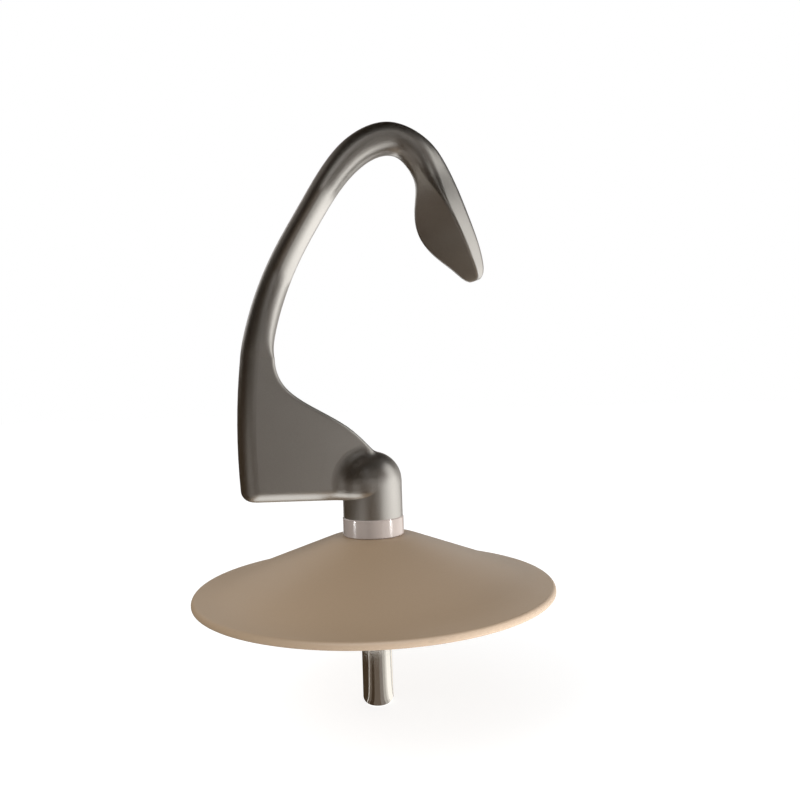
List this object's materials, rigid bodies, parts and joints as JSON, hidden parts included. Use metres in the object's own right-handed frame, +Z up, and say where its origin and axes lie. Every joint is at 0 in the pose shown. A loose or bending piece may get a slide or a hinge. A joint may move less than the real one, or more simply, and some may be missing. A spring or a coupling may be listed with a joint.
{
  "type": "stand mixer dough hook",
  "caption": "Cast dough hook with a flat web, a curved arm and a twisted blade, on a steel drive shaft with a conical dough shield and a glossy collar.",
  "frame": {"origin": "on the shaft's axis, at the shoulder that seats against the machine's socket", "axes": "+Z up the shaft towards the hook, hook in the XZ plane with its web towards -X and its blade towards +X"},
  "size_m": [0.1164, 0.1164, 0.1912],
  "materials": {
    "cast_aluminium": "satin, tumbled casting",
    "polished_collar": "glossy",
    "shield_plastic": "fine matte",
    "polished_steel": "turned and polished",
    "pin_steel": "ground"
  },
  "bodies": {
    "root": {"dough_hook": "cast_aluminium", "shield_collar": "polished_collar", "dough_shield": "shield_plastic", "drive_shaft": "polished_steel", "drive_pin": "pin_steel"}
  },
  "joints": []
}
